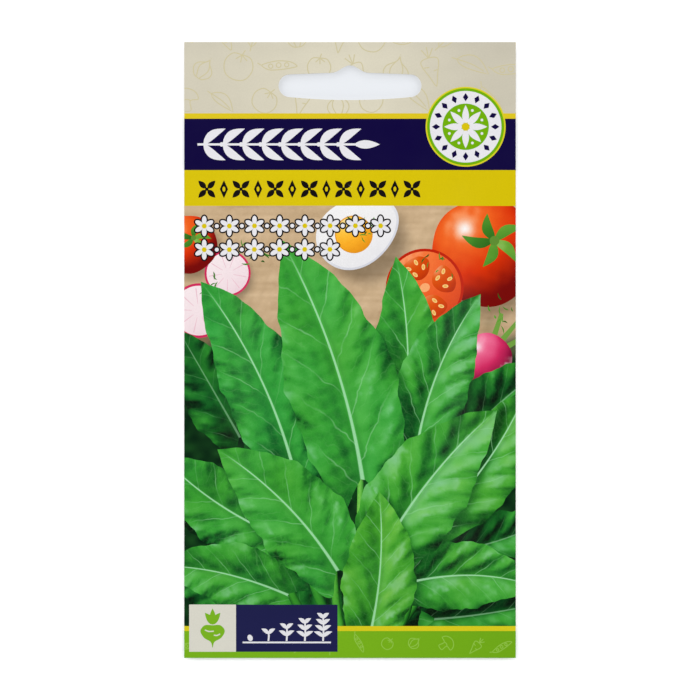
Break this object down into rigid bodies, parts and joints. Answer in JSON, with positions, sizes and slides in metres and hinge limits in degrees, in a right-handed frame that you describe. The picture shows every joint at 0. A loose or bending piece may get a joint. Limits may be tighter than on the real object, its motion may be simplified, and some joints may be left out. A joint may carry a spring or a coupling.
{
  "type": "seed packet",
  "caption": "Flat rectangular packet of printed film-covered paper, sealed round the edge, with a euro hang slot in its header and a heap of small seeds inside.",
  "frame": {"origin": "middle of the packet's outline, on the surface that the packet lies on", "axes": "+Z out of the printed front, +Y along the packet towards the header with the hang slot, +X across it to the right as seen from the front"},
  "size_m": [0.08, 0.1486, 0.0031],
  "materials": {
    "front_print": "semi-gloss printed film over paper: pale header, dark blue and yellow bands, leaf green picture",
    "back_print": "semi-gloss printed film over paper, cream with coloured bands",
    "seed_coat": "smooth brown seed coat, slightly glossy"
  },
  "bodies": {
    "root": {"front_panel": "front_print", "back_panel": "back_print", "seeds": "seed_coat"}
  },
  "joints": []
}
